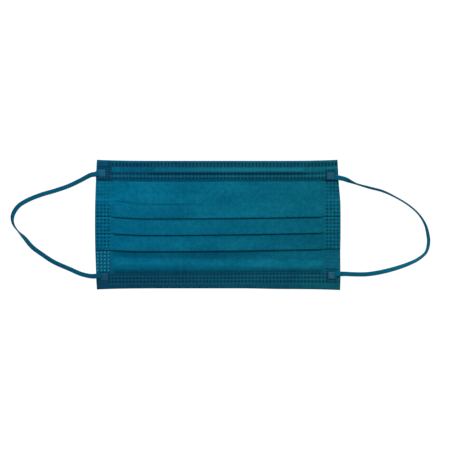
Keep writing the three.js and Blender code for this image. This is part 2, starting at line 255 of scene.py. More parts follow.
def smooth_route(stops, steps):
    """A centripetal Catmull-Rom line through the stops: places, and turns in radians."""
    places = [Vector(stop[:3]) for stop in stops]
    turns = [math.radians(stop[3]) for stop in stops]
    places = [2 * places[0] - places[1], *places, 2 * places[-1] - places[-2]]
    turns = [turns[0], *turns, turns[-1]]
    line = []
    for i in range(1, len(places) - 2):
        a, b, c, d = places[i - 1 : i + 3]
        ab, bc, cd = (math.sqrt((q - p).length) for p, q in ((a, b), (b, c), (c, d)))
        leaving = ((b - a) / ab - (c - a) / (ab + bc) + (c - b) / bc) * bc
        arriving = ((c - b) / bc - (d - b) / (bc + cd) + (d - c) / cd) * bc
        ta, tb, tc, td = turns[i - 1 : i + 3]
        for step in range(steps + (i == len(places) - 3)):
            s = step / steps
            first, second = 2 * s**3 - 3 * s**2 + 1, s**3 - 2 * s**2 + s
            third, fourth = 3 * s**2 - 2 * s**3, s**3 - s**2
            place = b * first + leaving * second + c * third + arriving * fourth
            turn = tb * first + (tc - ta) / 2 * second + tc * third + (td - tb) / 2 * fourth
            standing = BAND_HALF * abs(math.sin(turn))
            lying = BAND_THICK / 2 * abs(math.cos(turn))
            place.z = max(0, place.z) + standing + lying
            line.append((place, turn))
    return line


left_line = smooth_route(route_stops(-1, "top_left", "bottom_left", LEFT_ROUTE), ROUTE_STEPS)
right_line = smooth_route(route_stops(1, "top_right", "bottom_right", RIGHT_ROUTE), ROUTE_STEPS)


def line_length(line):
    return sum((b[0] - a[0]).length for a, b in zip(line, line[1:]))


print(f"free lengths: left {line_length(left_line) / MM:.0f} mm, right {line_length(right_line) / MM:.0f} mm")

# %% [markdown]
# A grid has a row and a column for each vertex, so one helper can bend any grid. It asks for the place of
# each vertex and writes the vertex's flat coordinates into a UV map in metres. Two numbers stay on each
# vertex for the materials. One is how far the cloth is darkened towards its fused colour, by welds and by
# painted shade. The other is how far it is lightened, by something pale that shows through it and by painted
# highlight.

# %% A grid that is bent into shape
def bent_grid(name, columns, rows, place, closed=False):
    """place(column, row) gives a point, its flat coordinates in metres, and its dark and pale marks, which
    carry painted shade and painted highlight as well.
    """
    bm = bmesh.new()
    bmesh.ops.create_grid(bm, x_segments=columns, y_segments=rows, size=0.5)
    uv_layer = bm.loops.layers.uv.new("flat")
    fused_and_shade_layer = bm.verts.layers.float.new("fused_and_shade")
    pale_layer = bm.verts.layers.float.new("pale")
    flat = {}
    for vert in bm.verts:
        column = round((vert.co.x + 0.5) * columns)
        row = round((vert.co.y + 0.5) * rows)
        vert.co, flat[vert], vert[fused_and_shade_layer], vert[pale_layer] = place(column, row)
    for face in bm.faces:
        face.smooth = True
        for loop in face.loops:
            loop[uv_layer].uv = flat[loop.vert]
    if closed:
        bmesh.ops.remove_doubles(bm, verts=bm.verts, dist=1e-6)
        bmesh.ops.holes_fill(bm, edges=bm.edges, sides=0)
        bmesh.ops.recalc_face_normals(bm, faces=bm.faces)
    mesh = bpy.data.meshes.new(name)
    bm.to_mesh(mesh)
    bm.free()
    piece = bpy.data.objects.new(name, mesh)
    bpy.context.collection.objects.link(piece)
    return piece


print("each bent grid keeps a UV map, flat, and two marks, fused and pale")

# %% [markdown]
# A band's section is flat with nearly square edges, and its knitted ribs run along both faces.

# %% The bands' section
BAND_SIDES = 32
BAND_WALES = 5  # the knitted ribs along the band
WALE_HEIGHT = 0.05 * MM
EDGE_POWER = 0.45  # how square the section is


def section_point(share, thickness):
    """A rounded flat section with ribs on both faces, share of the way round."""
    angle = 2 * math.pi * share
    wide = math.copysign(abs(math.cos(angle)) ** EDGE_POWER, math.cos(angle))
    high = math.copysign(abs(math.sin(angle)) ** EDGE_POWER, math.sin(angle))
    rib = WALE_HEIGHT * (abs(math.cos(math.pi * BAND_WALES * wide / 2)) - 0.5)
    return wide * BAND_HALF, high * (thickness / 2 + rib)


print(f"a band is {2 * section_point(0, BAND_THICK)[0] / MM:.1f} mm wide with its loose loops of yarn")

# %% [markdown]
# The welding horn flattens and spreads the end of a band and sinks it into the hem. The band reaches a
# little into its melted end, so that no gap shows between them.

# %% The bands
WELDED_IN = 1.1 * MM  # how far a band reaches into its melted end
WELDED_THICK = 0.55  # thickness and width there, as shares of the free band's
WELDED_WIDE = 1.2
THICK_RUN = 9 * MM  # the band has its own thickness from here
WIDE_RUN = 24 * MM  # and its own width from here
SUNK_TO = 2.1 * MM  # the height to which its end is sunk
SUNK_ENDS = (3 * MM, 15 * MM)  # it climbs out of the hem between these distances from its end


def reach_in(line):
    """The line with a point at each end inside the weld."""
    ends = []
    for (end, turn), (near, _) in ((line[0], line[1]), (line[-1], line[-2])):
        ends.append((end + (end - near).normalized() * WELDED_IN, turn))
    return [ends[0], *line, ends[1]]


def band(name, line):
    line = reach_in(line)
    last = len(line) - 1
    step = line_length(line) / last

    def place(column, row):
        middle, turn = line[column]
        along = (line[min(column + 1, last)][0] - line[max(column - 1, 0)][0]).normalized()
        flat = Vector((0, 0, 1)).cross(along).normalized()
        up = along.cross(flat)
        from_end = min(column, last - column) * step
        free = ease(from_end, 0, THICK_RUN)
        wide, high = section_point(row / BAND_SIDES, BAND_THICK * lerp(WELDED_THICK, 1, free))
        wide *= lerp(WELDED_WIDE, 1, ease(from_end, 0, WIDE_RUN))
        middle = Vector((middle.x, middle.y, lerp(SUNK_TO, middle.z, ease(from_end, *SUNK_ENDS))))
        across = wide * math.cos(turn) - high * math.sin(turn)
        above = wide * math.sin(turn) + high * math.cos(turn)
        point = middle + flat * across + up * above
        return point, (column * step, row / BAND_SIDES), 0, 0

    return bent_grid(name, last, BAND_SIDES, place, closed=True)


bands = {"left": band("band_left", left_line), "right": band("band_right", right_line)}
for side, line in (("left", left_line), ("right", right_line)):
    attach(bands[side], "root")
    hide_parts(f"ear_loop_{side}")
    print(bands[side].name, len(bands[side].data.polygons), "faces")

# %% [markdown]
# ## The pleated panel
#
# The panel is one sheet. Three times it folds back up under itself and down again, so three fold edges
# face the chin. Seen from the side it is a stack of shingles: each visible part starts on the table at
# the hidden fold behind it and climbs over the pleat in front of it. In the side welds the same layers
# are pressed onto each other.
#
# A line of rows follows the cloth from the nose edge to the chin edge. Each row knows which part it
# belongs to and how many layers of a pleat lie under it, and from that come its heights in the loose
# middle and in the welds.

# %% The cloth's line through the pleats
CLOTH = 0.45 * MM  # the real three plies, where the CAD has a 1 mm wall
PLEATS = 3
FIRST_FOLD = 0.446 * MASK_HEIGHT
PLEAT_PITCH = 0.127 * MASK_HEIGHT
PLEAT_DEPTH = 0.94 * PLEAT_PITCH
NOSE_HEM = 15.1 * MM
CHIN_HEM = 12.1 * MM
HEM_CLEAR = 1 * MM  # from a hem's raw edge to the flat cloth
INNER_EDGE = HALF_HEIGHT - 1.3 * MM  # the panel's own edge, inside the hem's fold
NOSE_FLAT = HALF_HEIGHT - NOSE_HEM - HEM_CLEAR
CHIN_FLAT = -HALF_HEIGHT + CHIN_HEM + HEM_CLEAR
LOOSE_PLY = 0.68 * MM  # from layer to layer in the loose middle
WELD_PLY = 0.42 * MM  # from layer to layer in the side welds
FIRST_STACK_RUN = 3 * MM  # above the first hidden fold the layers under the cloth end over this length


def fold_edge(pleat):
    return HALF_HEIGHT - FIRST_FOLD - pleat * PLEAT_PITCH


def back_fold(pleat):
    return fold_edge(pleat) + PLEAT_DEPTH


def welded_layers(panel, y):
    """How many layers lie under this part of the panel in the side welds."""
    if panel == PLEATS:
        return 0
    under = back_fold(panel)
    above = fold_edge(panel - 1) if panel else under + FIRST_STACK_RUN
    return 2 * (1 - ease(y, under, above))


print("fold edges at y =", [round(fold_edge(pleat) / MM, 1) for pleat in range(PLEATS)], "mm")

# %% [markdown]
# The rows are close together on the cloth that shows and further apart inside the pleats. At each fold
# the cloth makes a half turn.

# %% Rows along the cloth
TURN_STEPS = 8
FINE = 0.42 * MM  # rows on the cloth that shows
COARSE = 1.6 * MM  # rows on the cloth inside the pleats


def stretch(panel, start, end, spacing, rise=0):
    """Rows down or up a part of the panel. With rise=1 they are the hidden layer that lies on it."""
    count = max(1, round(abs(end - start) / spacing))
    rows = []
    for i in range(count + 1):
        y = lerp(start, end, i / count)
        rows.append((y, panel, rise, rise or welded_layers(panel, y)))
    return rows


def turn_down(panel, tip, way, lower):
    """A half turn of the cloth down onto layer lower. way: -1 at a fold edge, 1 at a hidden fold."""
    radius = LOOSE_PLY / 2
    rows = []
    for i in range(1, TURN_STEPS):
        angle = math.pi * i / TURN_STEPS
        y = tip + way * (radius * math.sin(angle) - radius - CLOTH / 2)
        rise = lower + 0.5 + math.cos(angle) / 2
        rows.append((y, panel, rise, rise))
    return rows


def cloth_rows():
    inset = LOOSE_PLY / 2 + CLOTH / 2
    rows = stretch(0, INNER_EDGE, NOSE_FLAT + HEM_CLEAR, COARSE)
    start = NOSE_FLAT + HEM_CLEAR
    for pleat in range(PLEATS):
        edge, back = fold_edge(pleat), back_fold(pleat)
        rows += stretch(pleat, start, edge + inset, FINE)[1:]
        rows += turn_down(pleat + 1, edge, -1, 1)
        rows += stretch(pleat + 1, edge + inset, back - inset, COARSE, rise=1)
        rows += turn_down(pleat + 1, back, 1, 0)
        rows += stretch(pleat + 1, back - inset, edge, COARSE)
        start = edge
    rows += stretch(PLEATS, start, CHIN_FLAT - HEM_CLEAR, FINE)[1:]
    rows += stretch(PLEATS, CHIN_FLAT - HEM_CLEAR, -INNER_EDGE, COARSE)[1:]
    return rows[::-1]


rows = cloth_rows()
print(len(rows), "rows from the chin edge to the nose edge")

# %% [markdown]
# Under the last pleat the cloth has the most slack. It springs up a little where the pleat lets it go,
# drops to the table, stands up in a long ridge and falls steeply to the chin hem. The ridge lies nearer
# the hem on the right.

# %% Heights in the loose middle
TABLE = 0.7 * MM  # the lowest cloth's middle, with the hems' lips under it
HEM_RISE = 0.55 * MM  # the cloth lies this much higher where it comes out from under the nose hem
HEM_RISE_RUN = 3 * HEM_CLEAR

# Places along the last part are shares of the way from the last fold to the chin hem.
SPRING = 0.9 * MM
SPRING_START = -0.7
SPRING_LENGTH = 0.36
SPRING_ACROSS = (0.55, 0.9)  # it dies out between these shares of the width
RIDGE = 2.8 * MM
RIDGE_PLACES = (0.62, 0.86)  # of its crest, at the left and at the right
RIDGE_RISE = 0.36
RIDGE_FOOT = 1.16


def last_share(y):
    top = fold_edge(PLEATS - 1)
    return (top - y) / (top - CHIN_FLAT)


def last_part(x, y):
    across = (x / HALF_WIDTH + 1) / 2
    share = last_share(y)
    crest = lerp(*RIDGE_PLACES, across)
    spring = ease(share, SPRING_START, 0) * (1 - ease(share, 0, SPRING_LENGTH))
    spring *= 1 - ease(across, *SPRING_ACROSS)
    if share < crest:
        ridge = ease(share, crest - RIDGE_RISE, crest)
    else:
        ridge = max(0, 1 - ((share - crest) / (RIDGE_FOOT - crest)) ** 2)
    return TABLE + SPRING * spring + RIDGE * ridge


def loose_height(panel, x, y):
    if panel == PLEATS:
        return last_part(x, y)
    under = back_fold(panel)
    if y <= under:
        return loose_height(panel + 1, x, y) + 2 * LOOSE_PLY
    top = loose_height(panel + 1, x, under) + 2 * LOOSE_PLY
    if panel:
        start = back_fold(panel - 1)
        return lerp(TABLE, top, (start - y) / (start - under))
    out = ease(y, NOSE_FLAT + HEM_RISE_RUN, NOSE_FLAT)
    return lerp(TABLE + HEM_RISE * out, top, ease(y, NOSE_FLAT, under))


print(f"over the first hidden fold the cloth lies {loose_height(0, 0, back_fold(0)) / MM:.1f} mm high")

# %% [markdown]
# At the left the first hidden fold prints through the cloth on it as a shallow step. Its line wanders, as
# noise makes it do.

# %% The printed step
STEP_DEPTH = 0.7 * MM
STEP_LENGTH = 1.9 * MM  # it falls over this length
STEP_FADE = 7 * MM  # and the cloth is level again here
STEP_ENDS = (-35 * MM, 16 * MM)  # it dies out between these places across the mask
STEP_TILT = 1.9 * MM  # how far it climbs towards the left side
STEP_TILT_ENDS = (-45 * MM, -80 * MM)
STEP_WANDER = 0.6 * MM
STEP_WAVE = 20 * MM
STEP_NOISE_ROW = 8.3


def show_through(x, y):
    """How deep the first hidden fold prints through the cloth on it."""
    line = back_fold(0) + STEP_TILT * ease(x, *STEP_TILT_ENDS)
    line += STEP_WANDER * noise.noise(Vector((x / STEP_WAVE, STEP_NOISE_ROW, 0)))
    past = line - y
    printed = ease(past, 0, STEP_LENGTH) * (1 - ease(past, STEP_LENGTH, STEP_FADE))
    return STEP_DEPTH * printed * (1 - ease(x, *STEP_ENDS))


print(f"the step is {show_through(-HALF_WIDTH, back_fold(0)) / MM:.2f} mm deep over the fold at the left")

# %% [markdown]
# Painted shade darkens the cloth at the first hidden fold's step, between two pleats, under the last pleat
# and where the ridge falls to the chin hem. Each value is a share of the way to fused cloth, which is the
# darkest.

# %% Painted shade on the cloth
STEP_SHADE = 0.16  # painted shade at the left, where the first pleat lies under it
STEP_SHADE_RUN = (-1 * MM, 3 * MM)
PLEAT_SHADE = 0.12  # painted shade between two pleats
UNDER_PLEAT_SHADE = 0.24  # painted shade at the left, under the last pleat
RIDGE_SHADE = 0.13  # painted shade at the left, on the ridge
RIDGE_SHADE_RUN = (0.4, 0.62)
SHADE_ACROSS = (0.4, 0.85)  # both die out between these shares of the width
FOOT_SHADE = (0.45, 0.22)  # painted shade where the ridge falls to the chin hem, at the left and at the right
FOOT_SHADE_STARTS = (0.66, 0.85)
FOOT_SHADE_END = 1.05


def painted_shade(panel, x, y):
    """How much painted shade darkens the cloth here."""
    if panel == 0:
        return STEP_SHADE * ease(back_fold(0) - y, *STEP_SHADE_RUN) * (1 - ease(x, *STEP_ENDS))
    if panel < PLEATS:
        return PLEAT_SHADE
    share = last_share(y)
    across = (x / HALF_WIDTH + 1) / 2
    on_top = lerp(UNDER_PLEAT_SHADE, RIDGE_SHADE, ease(share, *RIDGE_SHADE_RUN)) * (1 - ease(across, *SHADE_ACROSS))
    foot = ease(share, lerp(*FOOT_SHADE_STARTS, across), FOOT_SHADE_END)
    return max(on_top, lerp(*FOOT_SHADE, across) * foot)


# the painted shade at mid width, where the last part meets the chin hem
print(f"at mid width the last part is {painted_shade(PLEATS, 0, CHIN_FLAT):.2f} fused at the chin hem")

# %% [markdown]
# Followed from row to row, the cloth's line is as long as the sheet was when it was cut.

# %% The cut sheet
def cloth_lengths(points):
    lengths = [0.0]
    for a, b in zip(points, points[1:]):
        lengths.append(lengths[-1] + math.dist(a, b))
    return lengths


middle_line = [(y, loose_height(panel, 0, y) + rise * LOOSE_PLY) for y, panel, rise, _ in rows]
panel_lengths = cloth_lengths(middle_line)

# %% [markdown]
# The welding tools leave patterns. Down each side run four columns of dots, where heat and pressure fused
# all the layers. They bite deepest on the stacked pleats. Below the pleats at the left only two thin
# plies lie under the tool, so the fused dots there are a clear film that looks pale. They are real dents,
# so the grid's columns are close together in the side bands.

# %% Dots pressed into the side welds
DOT_OUTER = 86.9 * MM  # the mask's middle to the outer column
DOT_ACROSS = 2.57 * MM
DOT_DOWN = 2.6 * MM
DOT_START = 0.8 * MM  # a row's height over the mask's middle
DOT_COLUMNS = 4
DOT_RADIUS = 0.8 * MM
DOT_DEPTH = 0.4 * MM
PUFF_HIGHLIGHT = 0.14  # painted highlight: how much lighter the cloth is drawn between four dots in the welds
SPOT_FADE = (0.55, 1.2)  # a spot dies out between these shares of its radius
STACK_TOP = 14.5 * MM  # the stacked pleats end here
STACK_FOOT = -18 * MM
STACK_BLUR = 1 * MM

# How much less fused a dot is above the stack and below it, and how far it is a pale film below it.
DOT_FUSING = {"left": (0.7, 1, 1), "right": (0.35, 0.7, 0.15)}


def spot(x, y, pitch_x, pitch_y, radius):
    """1 in the middle of the nearest spot of a pattern, 0 outside it."""
    away_x = (x / pitch_x - round(x / pitch_x)) * pitch_x
    away_y = (y / pitch_y - round(y / pitch_y)) * pitch_y
    return 1 - ease(math.hypot(away_x, away_y), radius * SPOT_FADE[0], radius * SPOT_FADE[1])


def dot_press(x, y):
    """How far this place is pressed by a weld dot, and how near it lies to the middle of four dots, where a
    painted highlight goes.
    """
    inwards = DOT_OUTER - abs(x)
    if not -0.5 * DOT_ACROSS < inwards < (DOT_COLUMNS - 0.5) * DOT_ACROSS:
        return 0, 0
    dot = spot(inwards, y - DOT_START, DOT_ACROSS, DOT_DOWN, DOT_RADIUS)
    highlight_spot = spot(inwards + DOT_ACROSS / 2, y - DOT_START + DOT_DOWN / 2, DOT_ACROSS, DOT_DOWN, DOT_RADIUS)
    return dot, highlight_spot


def dot_marks(x, y):
    """How far a dot at this place is fused, and how far it is a pale film."""
    above = ease(y, STACK_TOP - STACK_BLUR, STACK_TOP + STACK_BLUR)
    below = 1 - ease(y, STACK_FOOT - STACK_BLUR, STACK_FOOT + STACK_BLUR)
    less_above, less_below, film_below = DOT_FUSING["left" if x < 0 else "right"]
    return 1 - less_above * above - less_below * below, film_below * below


print(DOT_COLUMNS, "columns of dots at each side,", round(DOT_DOWN / MM, 1), "mm from row to row")

# %% [markdown]
# At each end of a band a larger square horn has sunk the cloth, and its knurl has pitted it.

# %% Horns pressed into the corners
HORN_SLOPE = 0.5 * MM
HORN_DEPTH = 0.2 * MM
HORN_KNURL = 1.75 * MM
HORN_PIT = 0.18 * MM
HORN_PIT_RADIUS = 0.42 * HORN_KNURL
HORN_FUSED = 0.5  # between the pits

# How far each horn's imprint lies inwards of its pad, and its width and height.
HORNS = {
    "top_left": (2.1 * MM, 9.9 * MM, 10.2 * MM),
    "top_right": (0.4 * MM, 8 * MM, 9.6 * MM),
    "bottom_left": (0, 8.3 * MM, 8 * MM),
    "bottom_right": (0, 8 * MM, 10.4 * MM),
}


def horn_press(x, y):
    """How far the square horns have sunk the cloth, and how far their knurl has pitted it."""
    pressed = 0
    for name, (inwards, width, height) in HORNS.items():
        side, edge, inset, drop, _ = WELDS[name]
        dx = abs(x - side * (HALF_WIDTH - inset - inwards)) - width / 2
        dy = abs(y - edge * (HALF_HEIGHT - drop)) - height / 2
        pressed = max(pressed, 1 - ease(max(dx, dy), -HORN_SLOPE / 2, HORN_SLOPE / 2))
    return pressed, pressed * spot(x, y, HORN_KNURL, HORN_KNURL, HORN_PIT_RADIUS)


print(len(HORNS), "horns")

# %% [markdown]
# Cloth that has been packed flat is never quite even. Two noises, one broad and one small, make it so,
# the same for every layer.

# %% The cloth's unevenness
BROAD_WAVE = (26 * MM, 11 * MM)
BROAD_HEIGHT = 0.16  # in millimetres
SMALL_WAVE = (9 * MM, 6 * MM)
SMALL_HEIGHT = 0.07
NOISE_LEVELS = (0.7, 4.1)  # where in the noise each of them is read


def undulation(x, y):
    broad = noise.noise(Vector((x / BROAD_WAVE[0], y / BROAD_WAVE[1], NOISE_LEVELS[0])))
    small = noise.noise(Vector((x / SMALL_WAVE[0], y / SMALL_WAVE[1], NOISE_LEVELS[1])))
    return (BROAD_HEIGHT * broad + SMALL_HEIGHT * small) * MM


print(f"the cloth's middle is {undulation(0, 0) / MM:.2f} mm off its even height")

# %% [markdown]
# In the left weld the folds were caught a little nearer the nose edge than they lie in the loose cloth,
# so each fold line bends up towards it.

# %% The panel's grid
WIDE_COLUMN = 1.35 * MM
FINE_COLUMN = 0.37 * MM
FOLD_LIFT = 1.5 * MM
FOLD_LIFT_ENDS = (50 * MM, 88 * MM)
WELD_BASE = 0.75 * MM  # the lowest layer's middle in the side welds
WELD_UNEVEN = 0.3  # how much of its unevenness the cloth keeps there
PRESS_RUN = 4 * MM  # the loose layers come together over this length
SOFT_DOT = 0.4  # how deep a dot that isn't fused is, as a share of a fused one's depth
BAND_FUSED = 0.16  # the weld bands between their dots
FILM_FUSED = 0.42  # more where the dots are a film
BAND_BLUR = (-1 * MM, 0.5 * MM)


def panel_columns():
    inner = DOT_OUTER - DOT_ACROSS * (DOT_COLUMNS - 0.5)
    middle = round(2 * inner / WIDE_COLUMN)
    side = round((HALF_WIDTH - inner) / FINE_COLUMN)
    columns = [lerp(-HALF_WIDTH, -inner, i / side) for i in range(side)]
    columns += [lerp(-inner, inner, i / middle) for i in range(middle)]
    return columns + [lerp(inner, HALF_WIDTH, i / side) for i in range(side + 1)]


columns = panel_columns()


def panel_height(panel, x, y, rise=0, layers=None):
    """The height of the cloth's middle before the welds press it."""
    welded = ease(abs(x), HALF_WIDTH - WELD_BAND - PRESS_RUN, HALF_WIDTH - WELD_BAND)
    loose = loose_height(panel, x, y) + rise * LOOSE_PLY + undulation(x, y)
    if panel == 0:
        loose -= show_through(x, y)
    layers = welded_layers(panel, y) if layers is None else layers
    return lerp(loose, WELD_BASE + layers * WELD_PLY + WELD_UNEVEN * undulation(x, y), welded)


def panel_place(column, row):
    x = columns[column]
    y, panel, rise, layers = rows[row]
    across, along = settle(x, y)
    along += FOLD_LIFT * ease(-x, *FOLD_LIFT_ENDS) * (1 - (y / HALF_HEIGHT) ** 2)
    dot, highlight_spot = dot_press(across, along)
    dot_fused, film = dot_marks(across, along)
    horn, pits = horn_press(x, y)
    z = panel_height(panel, x, y, rise, layers)
    dot_dent = DOT_DEPTH * dot * (SOFT_DOT + (1 - SOFT_DOT) * dot_fused)
    z -= max(dot_dent, HORN_DEPTH * horn + HORN_PIT * pits)
    in_band = ease(abs(x), HALF_WIDTH - WELD_BAND + BAND_BLUR[0], HALF_WIDTH - WELD_BAND + BAND_BLUR[1])
    banded = (BAND_FUSED + FILM_FUSED * film) * in_band
    # Welds fuse the cloth, and painted shade darkens it towards the same colour.
    fused_and_shade = max(dot * dot_fused, banded, painted_shade(panel, x, y), lerp(HORN_FUSED * horn, 1, pits))
    # The dots' pale film, and a painted highlight between four dots.
    pale = max(film * dot, PUFF_HIGHLIGHT * highlight_spot)
    return (across, along, z), (x, panel_lengths[row]), fused_and_shade, pale


panel_cloth = bent_grid("panel_cloth", len(columns) - 1, len(rows) - 1, panel_place)
print("panel_cloth:", len(panel_cloth.data.polygons), "faces before it gets its thickness")

# %% [markdown]
# A Solidify modifier turns the sheet into cloth of its real thickness. It keeps the sheet's own surface
# in the middle, so the folds stay where they were drawn.

# %% The cloth's thickness
def give_thickness(piece, thickness):
    solidify = piece.modifiers.new("thickness", "SOLIDIFY")
    solidify.thickness = thickness
    solidify.offset = 0
    solidify.use_rim = True


give_thickness(panel_cloth, CLOTH)
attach(panel_cloth, "root")
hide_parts("pleated_panel")
print(f"{panel_cloth.name} is {CLOTH / MM:.2f} mm thick")

# %% [markdown]
# ## The hems
#
# Along the nose and the chin the inner ply is folded round the edge onto the front and welded with three
# rows of short bars. Between the rows the cloth stands up in soft ridges, and on the nose hem the widest
# ridge is the wire's channel.

# %% Rows of welds in the hems
HEM_PUFF = 0.12 * MM
PUFF_POWER = 0.8  # how round a ridge is
PUFF_FADE = (0.35 * MM, 1 * MM)
ROW_DIP = 0.22 * MM
ROW_RUN = 1.5 * MM
BAR_PITCH = 2.53 * MM
BAR_WIDTH = 1.5 * MM
BAR_SLOPE = 0.35 * MM

# Drops from the edge in metres: the rows of bars with each bar's height, and the lines of puffs between them.
NOSE_ROWS = {0.213 * NOSE_HEM: 3.2 * MM, 0.64 * NOSE_HEM: 2.2 * MM, 0.87 * NOSE_HEM: 2.0 * MM}
CHIN_ROWS = {0.43 * CHIN_HEM: 1.5 * MM, 0.652 * CHIN_HEM: 1.3 * MM, 0.877 * CHIN_HEM: 1.4 * MM}
NOSE_PUFFS = [0.756 * NOSE_HEM]
CHIN_PUFFS = [0.31 * CHIN_HEM, 0.542 * CHIN_HEM, 0.77 * CHIN_HEM]


def ridge(drop, rows):
    """The hem's rise between two rows of welds, or its dip at a row."""
    places = list(rows)
    for near, far in zip(places, places[1:]):
        if near < drop < far:
            share = (drop - near) / (far - near)
            return (HEM_PUFF + ROW_DIP) * math.sin(math.pi * share) ** PUFF_POWER - ROW_DIP
    nearest = min(abs(drop - place) for place in places)
    return -ROW_DIP * (1 - ease(nearest, 0, ROW_RUN))


def bar_press(x, drop, rows):
    """How far this place is pressed by a bar, and by the row that the bar stands in."""
    place = min(rows, key=lambda row: abs(drop - row))
    column = x / BAR_PITCH
    dx = abs(column - round(column)) * BAR_PITCH - BAR_WIDTH / 2
    dy = abs(drop - place) - rows[place] / 2
    return 1 - ease(max(dx, dy), -BAR_SLOPE, BAR_SLOPE), 1 - ease(dy, -BAR_SLOPE, 2 * BAR_SLOPE)


# A painted highlight on the hem's puffs: 1 on a puff, 0 away from it.
def puff_highlight(x, drop, puffs):
    column = x / BAR_PITCH - 0.5
    dx = (column - round(column)) * BAR_PITCH
    away = min(math.hypot(dx, drop - place) for place in puffs)
    return 1 - ease(away, *PUFF_FADE)


print("rows of bars:", len(NOSE_ROWS), "in the nose hem,", len(CHIN_ROWS), "in the chin hem")

# %% [markdown]
# The widest ridge of the nose hem is the wire's channel. The white wire shows through the thin ply as a
# lighter stripe, most at its right end, where the ply lies closest on it.

# %% The wire's channel
WIRE_LENGTH = 108 * MM
WIRE_WIDTH = 3 * MM
WIRE_THICK = 0.8 * MM
WIRE_PLACE = 0.435 * NOSE_HEM
WIRE_OFFSET = 7.7 * MM
CHANNEL_SIDE = 0.2 * MM
CHANNEL_SLOPE = 3 * MM
CHANNEL_RUNOUT = 5 * MM
SHOWS = (0.15, 0.6)  # how far the wire shows, at the left and at the right
SHOWS_BETWEEN = (-46 * MM, 20 * MM)
SHOWS_BESIDE = (-1.2 * MM, 0.5 * MM)
SHOWS_BEYOND = (-0.5 * MM, 0.5 * MM)


def beyond_wire(x, drop):
    """How far a point of the nose hem lies outside the wire, across it and past its ends."""
    return abs(drop - WIRE_PLACE) - WIRE_WIDTH / 2, abs(x - WIRE_OFFSET) - WIRE_LENGTH / 2


def channel_lift(x, drop):
    beside, beyond = beyond_wire(x, drop)
    down = max(ease(beside, CHANNEL_SIDE, CHANNEL_SLOPE), ease(beyond, CHANNEL_SIDE, CHANNEL_RUNOUT))
    return (WIRE_THICK + PLY_GAP) * (1 - down)


def wire_shows(x, drop):
    beside, beyond = beyond_wire(x, drop)
    close = lerp(*SHOWS, ease(x, *SHOWS_BETWEEN))
    return close * (1 - ease(beside, *SHOWS_BESIDE)) * (1 - ease(beyond, *SHOWS_BEYOND))


print(f"the channel stands {channel_lift(WIRE_OFFSET, WIRE_PLACE) / MM:.1f} mm higher than the hem")

# %% [markdown]
# Each hem is a bent grid on its own line, which starts under the mask, turns round the edge and runs to
# the raw edge. Bars and horns dent it and fuse it, the raw edge comes down to the panel, and the cut ends
# are pressed flat.

# %% The hems
HEM_PLY = 0.25 * MM
HEM_MIDDLE = 1.95 * MM
HEM_COLUMN = 0.42 * MM
LIP = 2.6 * MM  # how far the hem's cloth runs in under the mask
RAW_EDGE_RUN = 1.6 * MM
RAW_EDGE_CLEAR = 0.4 * MM  # the last of the nose hem isn't fused
SIDE_DROP = 0.75 * MM
SIDE_RUN = 1.3 * MM
BAR_DEPTH = 0.2 * MM
BAR_FUSED = 1.0
BAR_ENDS = (1.6 * MM, 2.2 * MM)  # the bars end this far inside the side welds
FIRST_ROW_FOOT = 0.36 * NOSE_HEM  # above this drop the nose hem's bars run on to the right side
ROW_FUSED = 0.45  # a row between its bars
FOLD_FUSED = 0.45  # the pressed fold along the edge
FOLD_RUN = (0.3 * MM, 1.3 * MM)
HEM_SHADE_SIDES = (1.45, 0.6)  # how much more painted shade at the left, and less at the right
# painted highlight on the puffs between the rows
HEM_PUFF_HIGHLIGHT = 0.22


def hem_line(depth):
    """Drop from the edge, height, and whether the point is on the flap, from the lip under the mask."""
    low = HEM_PLY / 2
    radius = (HEM_MIDDLE - low) / 2
    line = [(LIP, low, False), (lerp(LIP, radius + low, 0.5), low, False)]
    for i in range(TURN_STEPS + 1):
        angle = math.pi * (i / TURN_STEPS - 0.5)
        line.append((radius + low - radius * math.cos(angle), low + radius * (1 + math.sin(angle)), False))
    count = round((depth - line[-1][0]) / FINE)
    return line + [(lerp(line[-1][0], depth, i / count), HEM_MIDDLE, True) for i in range(1, count + 1)]


